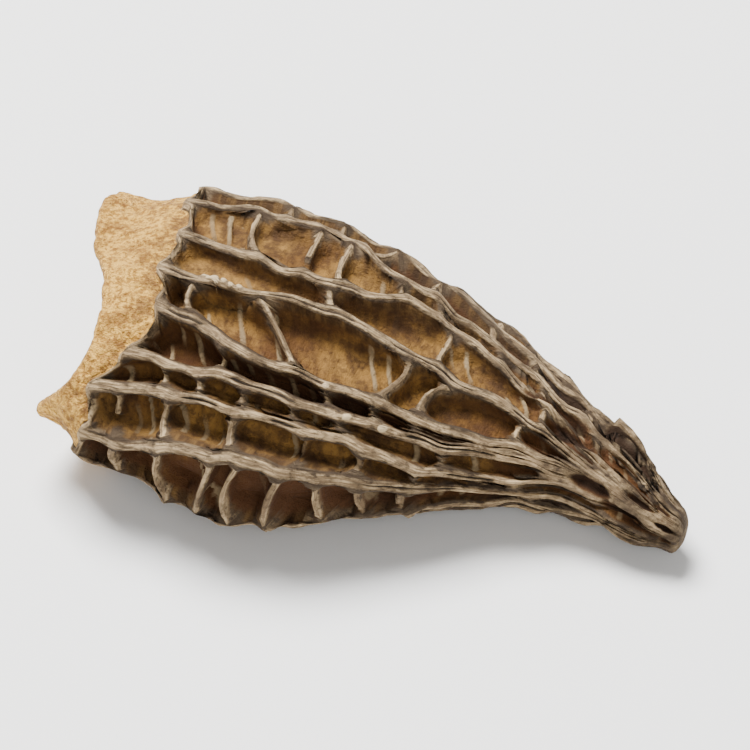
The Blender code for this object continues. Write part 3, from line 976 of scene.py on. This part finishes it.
def driedFlesh():
    # grey-brown crests, dark pleated walls, ochre floors with pale rungs and a cream felted stem,
    # by the masks on the mesh; the dark is partly painted shade: on the crests' sides and grooves,
    # the walls, the floors by the walls, rungs and hollows, and the stem under the cap
    material = bpy.data.materials.new("driedFlesh")
    material.use_nodes = True
    tree = material.node_tree
    shader = tree.nodes["Principled BSDF"]
    place = addNode(tree, "ShaderNodeTexCoord", out=3)
    net, sink, stemMask, inside, rung, rungOn, ridge, clear, split, brink, tone, crumb = [
        addNode(tree, "ShaderNodeAttribute", {"attribute_name": name}, out=2) for name in (
            "net", "sink", "stem", "inside", "rung", "rungOn",
            "ridge", "open", "split", "brink", "tone", "crumb")]
    apart = addNode(tree, "ShaderNodeSeparateXYZ", {}, {0: place})
    height = addNode(tree, "ShaderNodeSeparateXYZ", {}, {0: place}, out=2)

    # strands that follow each rib: fast across it, slow along it
    follow = addNode(tree, "ShaderNodeCombineXYZ", {},
                     {"X": apart * 560, "Y": ridge * 6, "Z": height * 300})
    strands = noise(tree, follow, 1.0, detail=3)
    grain, clouds, patches, pleats, fine, stipple, mottle = [
        noise(tree, place, *grains[name]) for name in (
            "grain", "clouds", "patches", "pleats", "fine", "stipple", "mottle")]

    # crests: pale strands on grey-brown, with painted shade down their sides, darker near the tip,
    # and painted shade in the groove where they part
    tipward = apart.between(0.011, 0.020)
    pale = strands + (mottle - strands) * tipward
    # painted shade: the crest turns dark towards its sides so that it looks round
    side = (ridge + (grain - 0.5) * 0.5).between(0.20, 0.47)
    crest = layered(
        tree, flesh["crest"],
        (pale.between(0.40, 0.66), "crestPale"),
        (grain.between(0.50, 0.68) * 0.6, "crestDarkAndShade"),
        (mottle.between(0.52, 0.68) * 0.5, "crestDarkAndShade"),
        (clouds.between(0.52, 0.70) * 0.55, "crestDarkAndShade"),
        (side * 0.88, "crestDarkAndShade"),
        (tipward * clouds.between(0.35, 0.6) * 0.7, "crestDarkAndShade"),
        (split.between(0.15, 0.7) * 0.9, "crestGrooveShade"))

    # pits: pleated walls, darker partly by painted shade, and floors that are mottled, darker in
    # some rows, with painted shade near the walls and along the rungs, and crossed by rungs
    line = addNode(tree, "ShaderNodeMath", {"operation": "PINGPONG"}, {0: rung + 0.5, 1: 0.5})
    across = (line + (grain - 0.5) * 0.15).between(0.30, 0.43)
    wall = layered(tree, flesh["wall"], (pleats.between(0.42, 0.70), "wallPleat"))
    low = layered(
        tree, flesh["floor"],
        ((patches - tone * 0.25).between(0.30, 0.54), "floorPale"),
        (clouds.between(0.46, 0.66) * 0.8, "floorDark"),
        (mottle.between(0.46, 0.62) * 0.55, "floorDark"),
        (pleats.between(0.50, 0.66) * 0.25, "floorDark"),
        # painted shade on the floors near the walls
        ((1 - clear.between(0.05, 0.55)) * 0.35, "floorDark"),
        # painted shade in bands along the rung lines
        (line.between(0.25, 0.5) * 0.35, "floorDark"),
        # by the tone: the rows' own dark red-brown, with painted shade in the hollows and partly in
        # the fourth row
        ((tone + (clouds - 0.5) * 0.5).between(0.15, 1.0), "deepFloor"),
        (across * rungOn * 0.85 * sink.between(0.5, 0.9), "rung"))
    # painted shade in part: the upper walls take the darker wall colour
    pit = blend(tree, (sink + (fine - 0.5) * 0.25).between(0.20, 0.70), wall, low)
    # near-black where the tone is high, towards the tip and in the darkest rows; in the tip's
    # hollows this is painted shade
    pit = layered(tree, pit, (tone.between(0.6, 1.5) * 0.95, "deepWall"))
    cap = blend(tree, (net + (grain - 0.5) * 0.5).between(0.30, 0.70), pit, crest)
    cap = layered(tree, cap, ((crumb + (grain - 0.5) * 0.4).between(0.3, 0.7) * 0.85, "crumb"))

    # stem: stippled felt with brown clouds, brown stains and painted shade in patches under the
    # cap's lip, and a browner inside
    stainAndShadePatches = (clouds * 0.5 + grain * 0.5).between(0.40, 0.6)
    felt = layered(
        tree, flesh["stem"],
        (stipple.between(0.40, 0.56), "stemPale"),
        (clouds.between(0.46, 0.70) * 0.70, "stemBrown"),
        (mottle.between(0.48, 0.64) * 0.62, "stemBrown"),
        (brink * stainAndShadePatches * 0.8, "brink"),
        (inside * 0.8, "inside"))
    colour = blend(tree, (stemMask + (grain - 0.5) * 0.4).between(0.35, 0.75), cap, felt)
    tree.links.new(colour.socket, shader.inputs["Base Color"])
    shader.inputs["Roughness"].default_value = finish["roughness"]
    shader.inputs["Specular IOR Level"].default_value = finish["specular"]

    # bump: strands on the crests, pleats and mottling in the pits, stippling on the stem
    relief = strands * net * 1.4 + grain * 0.6 * (1 - stemMask) + fine * 0.4
    relief = relief + pleats * sink * 0.8 + mottle * sink * 0.8
    relief = relief + (stipple * 2.4 + mottle * 3.0) * stemMask
    bump = addNode(tree, "ShaderNodeBump", {}, {
        "Height": relief, "Distance": finish["bumpDistance"], "Strength": finish["bumpStrength"]})
    tree.links.new(bump.socket, shader.inputs["Normal"])
    return material


morel.data.materials.append(driedFlesh())
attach(morel, "root")
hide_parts("fruit_body")
print("materials done")


studio = {
    "floorSize": 1.2,
    "floorColour": (0.93, 0.925, 0.91),
    "floorRoughness": 0.9,
    "azimuth": 22,             # degrees round from looking along +Y
    "elevation": 45,
    "lens": 250,
    "sensor": 36,
    "width": 0.0535,           # metres across the view at the morel
    "aim": (-0.0006, 0.0014, 0.0072),
    # name, place, size in metres, watts
    "lights": (
        ("window", (-0.16, 0.10, 0.46), 0.26, 8.4),
        ("fill", (0.22, -0.42, 0.30), 0.45, 1.8),
    ),
    "sky": 0.30,
}


def lookAt(item, target):
    # turns a lamp or a camera so that it looks straight at the target
    direction = np.array(target) - np.array(item.location)
    across = np.hypot(direction[0], direction[1])
    tilt = np.pi / 2 + np.arctan2(direction[2], across)
    item.rotation_euler = (tilt, 0, np.arctan2(-direction[0], direction[1]))


def studioSet():
    # a pale floor, two soft lamps, an even sky and the camera
    size = studio["floorSize"] / 2
    mesh = bpy.data.meshes.new("paleFloor")
    corners = [(-size, -size, 0), (size, -size, 0), (size, size, 0), (-size, size, 0)]
    mesh.from_pydata(corners, [], [(0, 1, 2, 3)])
    floor = bpy.data.objects.new("paleFloor", mesh)
    bpy.context.scene.collection.objects.link(floor)
    material = bpy.data.materials.new("palePaper")
    material.use_nodes = True
    shader = material.node_tree.nodes["Principled BSDF"]
    shader.inputs["Base Color"].default_value = (*studio["floorColour"], 1)
    shader.inputs["Roughness"].default_value = studio["floorRoughness"]
    mesh.materials.append(material)

    for name, place, width, watts in studio["lights"]:
        light = bpy.data.lights.new(name, "AREA")
        light.size = width
        light.energy = watts
        item = bpy.data.objects.new(name, light)
        item.location = place
        lookAt(item, studio["aim"])
        bpy.context.scene.collection.objects.link(item)

    world = bpy.data.worlds.new("paleRoom")
    world.use_nodes = True
    world.node_tree.nodes["Background"].inputs["Color"].default_value = (1, 1, 1, 1)
    world.node_tree.nodes["Background"].inputs["Strength"].default_value = studio["sky"]
    bpy.context.scene.world = world

    camera = bpy.data.cameras.new("camera")
    camera.lens = studio["lens"]
    camera.sensor_width = studio["sensor"]
    camera.clip_start = 0.01
    item = bpy.data.objects.new("camera", camera)
    side = np.radians(studio["azimuth"])
    up = np.radians(studio["elevation"])
    back = np.array([np.sin(side) * np.cos(up), -np.cos(side) * np.cos(up), np.sin(up)])
    far = studio["width"] * studio["lens"] / studio["sensor"]
    item.location = np.array(studio["aim"]) + back * far
    lookAt(item, studio["aim"])
    bpy.context.scene.collection.objects.link(item)
    bpy.context.scene.camera = item


studioSet()
print("studio done")
